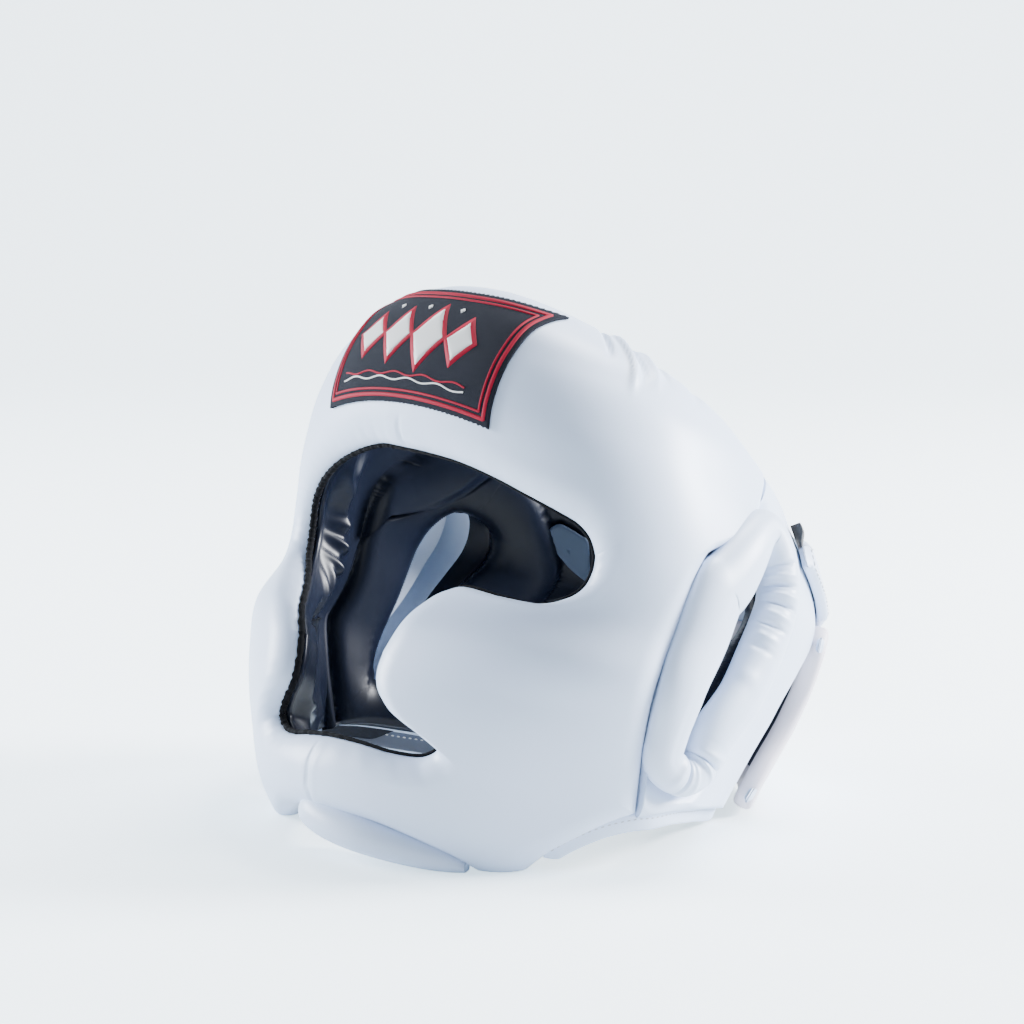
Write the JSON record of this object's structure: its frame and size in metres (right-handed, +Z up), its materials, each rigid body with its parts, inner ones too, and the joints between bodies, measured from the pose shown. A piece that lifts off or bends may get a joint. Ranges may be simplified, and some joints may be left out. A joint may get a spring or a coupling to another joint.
{
  "type": "boxing head guard",
  "caption": "Full-face padded leather head guard for boxing, with an eye and nose opening, padded ear openings, an open crown, a lined back flap and a closure strap, resting on its lower edge",
  "frame": {"origin": "centre of the bounding box at floor level, below the head space", "axes": "+Z up, -Y is where the face looks, +X is the wearer's left side"},
  "size_m": [0.2368, 0.25, 0.2142],
  "materials": {
    "white_leather": "smooth semi-matte coated white leather",
    "binding_leather": "thin stitched white leather binding",
    "black_lining": "smooth satin black lining leather",
    "black_trim": "raw black fabric edge",
    "hook_tape": "black woven hook tape",
    "patch_cloth": "dark woven cloth patch with red stitched border"
  },
  "bodies": {
    "root": {"shell": "white_leather", "rear_panel_left": "white_leather", "rear_panel_right": "white_leather", "ear_ring_left": "white_leather", "ear_ring_right": "white_leather", "under_chin_pad": "white_leather", "back_flap": "white_leather", "closure_strap": "white_leather", "flap_binding": "binding_leather", "bottom_binding_left": "binding_leather", "bottom_binding_right": "binding_leather", "lining": "black_lining", "rear_lining_left": "black_lining", "rear_lining_right": "black_lining", "face_trim": "black_trim", "hook_tape": "hook_tape", "forehead_patch": "patch_cloth"}
  },
  "joints": []
}
